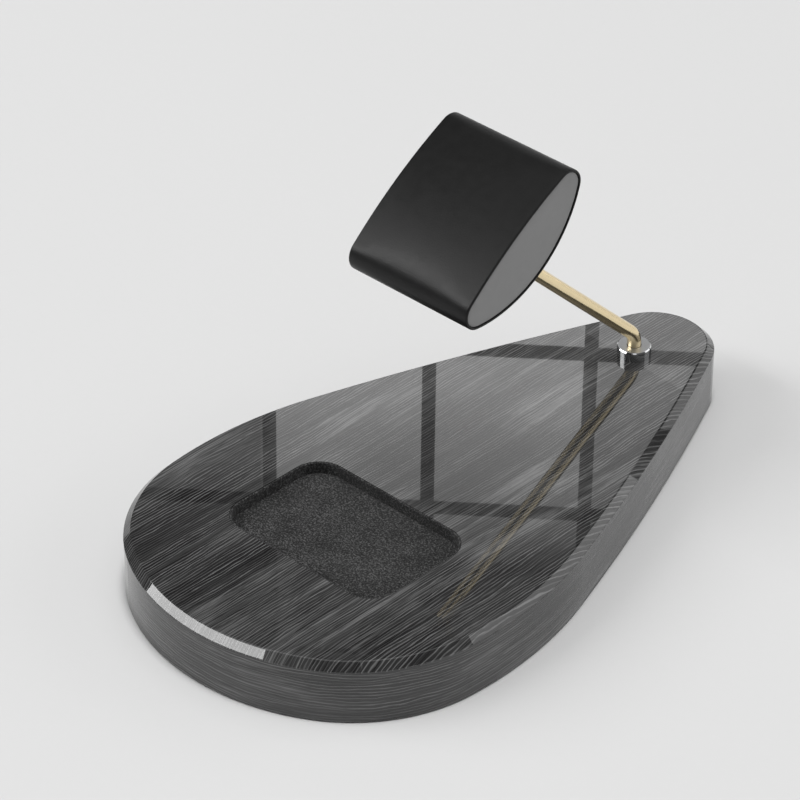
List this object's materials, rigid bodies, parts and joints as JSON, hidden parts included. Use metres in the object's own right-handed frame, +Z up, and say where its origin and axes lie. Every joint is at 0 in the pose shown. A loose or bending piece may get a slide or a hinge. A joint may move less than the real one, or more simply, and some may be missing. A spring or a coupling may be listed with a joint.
{
  "type": "watch stand",
  "caption": "Egg-shaped wooden stand with a felt-lined tray and a padded leather cushion on a bent brass rod that swivels in its ferrule; the cushion draws off.",
  "frame": {"origin": "on the table, under the middle of the base", "axes": "+Z up, +Y towards the narrow end where the rod stands, +X to the right"},
  "size_m": [0.116, 0.2004, 0.1123],
  "materials": {
    "core_board": "fine-grained board, sanded and sealed",
    "lacquered_veneer": "grey-stained open-grain veneer under clear gloss lacquer",
    "tray_felt": "charcoal wool felt",
    "base_felt": "dark wool felt, glued",
    "tray_card": "plain stiff card",
    "bush_brass": "turned, as machined",
    "rod_brass": "pale, polished and clear-lacquered",
    "ferrule_chrome": "polished",
    "fastener_steel": "zinc plated",
    "ring_rubber": "matt black",
    "socket_brass": "turned, as machined",
    "cushion_wood": "planed softwood",
    "foam": "thin open-cell foam",
    "wrap_leather": "black, satin, fine grain",
    "end_board": "stiff grey board",
    "end_leather": "mid grey, smooth and matt"
  },
  "bodies": {
    "base": {"base_core": "core_board", "top_veneer": "lacquered_veneer", "edge_veneer": "lacquered_veneer", "underside_pad": "base_felt", "tray_card": "tray_card", "tray_floor_felt": "tray_felt", "tray_wall_felt": "tray_felt", "stem_bush": "bush_brass", "ferrule": "ferrule_chrome", "plain_washer": "fastener_steel"},
    "arm": {"stem_rod": "rod_brass", "grip_ring": "ring_rubber", "spring_washer": "fastener_steel", "lock_nut": "fastener_steel"},
    "cushion": {"rod_socket": "socket_brass", "cushion_core": "cushion_wood", "face_foam": "foam", "leather_wrap": "wrap_leather", "end_board_left": "end_board", "end_board_right": "end_board", "end_facing_left": "end_leather", "end_facing_right": "end_leather"}
  },
  "joints": [
    {"name": "arm_swivel", "type": "hinge", "parent": "base", "child": "arm", "pos_m": [0, 0.07405, 0.0196], "axis": [0, 0, 1], "continuous": true},
    {"name": "cushion_draw", "type": "slide", "parent": "arm", "child": "cushion", "axis": [-0.1637, -0.7091, 0.6858], "range_m": [0, 0.009]}
  ]
}
